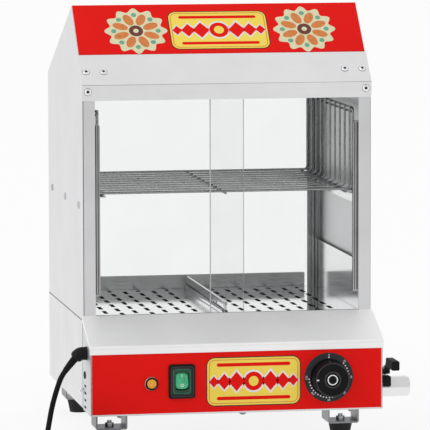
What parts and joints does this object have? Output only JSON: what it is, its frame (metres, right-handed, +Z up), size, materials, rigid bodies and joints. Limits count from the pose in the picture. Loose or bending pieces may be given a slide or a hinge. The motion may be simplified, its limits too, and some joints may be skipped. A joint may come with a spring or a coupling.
{
  "type": "hot dog steamer",
  "caption": "Counter-top hot dog steamer: steel cabinet with sliding glass doors, wire bun rack, slotted trays over a water tank, divider, thermostat, lit switch, lamp and drain valve.",
  "frame": {"origin": "on the counter, under the middle of the box round the steamer without its free cord", "axes": "+X to the viewer's right as one faces the doors, +Y to the back, +Z up"},
  "size_m": [0.5145, 0.549, 0.5675],
  "materials": {
    "cabinet_steel": "satin",
    "apron_steel": "polished satin",
    "panel_red": "gloss print with a yellow badge",
    "inner_steel": "polished",
    "door_glass": "clear",
    "aluminium": "anodised",
    "wire_chrome": "bright plated",
    "plated_steel": "zinc plated",
    "valve_steel": "machined",
    "black_rubber": "matt",
    "black_plastic": "satin",
    "dark_green": "translucent",
    "bright_green": "translucent, lit",
    "lamp_chrome": "bright",
    "amber": "translucent"
  },
  "bodies": {
    "cabinet": {"base_body": "cabinet_steel", "bottom_plate": "inner_steel", "control_box": "cabinet_steel", "apron": "apron_steel", "control_panel": "panel_red", "side_panel_left": "cabinet_steel", "side_panel_right": "cabinet_steel", "roof": "cabinet_steel", "front_header": "cabinet_steel", "sign_plate": "panel_red", "rear_bottom_rail": "inner_steel", "rear_glass": "door_glass", "rear_channel_left": "inner_steel", "rear_channel_right": "inner_steel", "top_track": "aluminium", "bottom_track": "aluminium", "shelf_rail_left": "inner_steel", "shelf_rail_right": "inner_steel", "side_liner_left": "inner_steel", "side_liner_right": "inner_steel", "water_tank": "inner_steel", "heating_element": "plated_steel", "level_probe": "plated_steel", "thermostat_body": "plated_steel", "thermostat_bulb": "plated_steel", "thermostat_bezel": "black_plastic", "switch_body": "black_plastic", "switch_well": "dark_green", "lamp_body": "lamp_chrome", "lamp_lens": "amber", "valve_body": "valve_steel", "drain_pipe": "valve_steel", "cord_gland": "black_rubber", "power_cord": "black_rubber", "cord_coil": "black_rubber", "plug": "black_plastic", "foot_bolts": "plated_steel", "panel_screws": "plated_steel", "foot_front_left": "black_rubber", "foot_front_right": "black_rubber", "foot_rear_left": "black_rubber", "foot_rear_right": "black_rubber", "strap_front_left": "plated_steel", "strap_front_right": "plated_steel", "strap_rear_left": "plated_steel", "strap_rear_right": "plated_steel"},
    "left_door": {"left_door_glass": "door_glass", "left_door_pull": "aluminium"},
    "right_door": {"right_door_glass": "door_glass", "right_door_pull": "aluminium"},
    "rack": {"bun_rack": "wire_chrome"},
    "left_tray": {"tray_left": "inner_steel"},
    "right_tray": {"tray_right": "inner_steel"},
    "middle_divider": {"divider": "inner_steel"},
    "knob": {"thermostat_knob": "black_plastic", "knob_cap": "wire_chrome", "thermostat_spindle": "wire_chrome"},
    "rocker": {"switch_rocker": "bright_green"},
    "lever": {"valve_lever": "valve_steel", "valve_grip": "black_plastic"}
  },
  "joints": [
    {"name": "left_door_slide", "type": "slide", "parent": "cabinet", "child": "left_door", "axis": [1, 0, 0], "range_m": [0, 0.152]},
    {"name": "right_door_slide", "type": "slide", "parent": "cabinet", "child": "right_door", "axis": [-1, 0, 0], "range_m": [0, 0.152]},
    {"name": "bun_rack_lift", "type": "slide", "parent": "cabinet", "child": "rack", "axis": [0, 0, 1], "range_m": [0, 0.012]},
    {"name": "left_tray_lift", "type": "slide", "parent": "cabinet", "child": "left_tray", "axis": [0, 0, 1], "range_m": [0, 0.1]},
    {"name": "right_tray_lift", "type": "slide", "parent": "cabinet", "child": "right_tray", "axis": [0, 0, 1], "range_m": [0, 0.1]},
    {"name": "divider_lift", "type": "slide", "parent": "cabinet", "child": "middle_divider", "axis": [0, 0, 1], "range_m": [0, 0.1]},
    {"name": "thermostat_turn", "type": "hinge", "parent": "cabinet", "child": "knob", "pos_m": [0.10129, -0.1955, 0.0907], "axis": [0, 1, 0], "range_deg": [-270, 0]},
    {"name": "switch_rock", "type": "hinge", "parent": "cabinet", "child": "rocker", "pos_m": [-0.0917, -0.17925, 0.0907], "axis": [1, 0, 0], "range_deg": [0, 20]},
    {"name": "valve_turn", "type": "hinge", "parent": "cabinet", "child": "lever", "pos_m": [0.19529, -0.0955, 0.083], "axis": [0, 0, 1], "range_deg": [0, 90]}
  ]
}
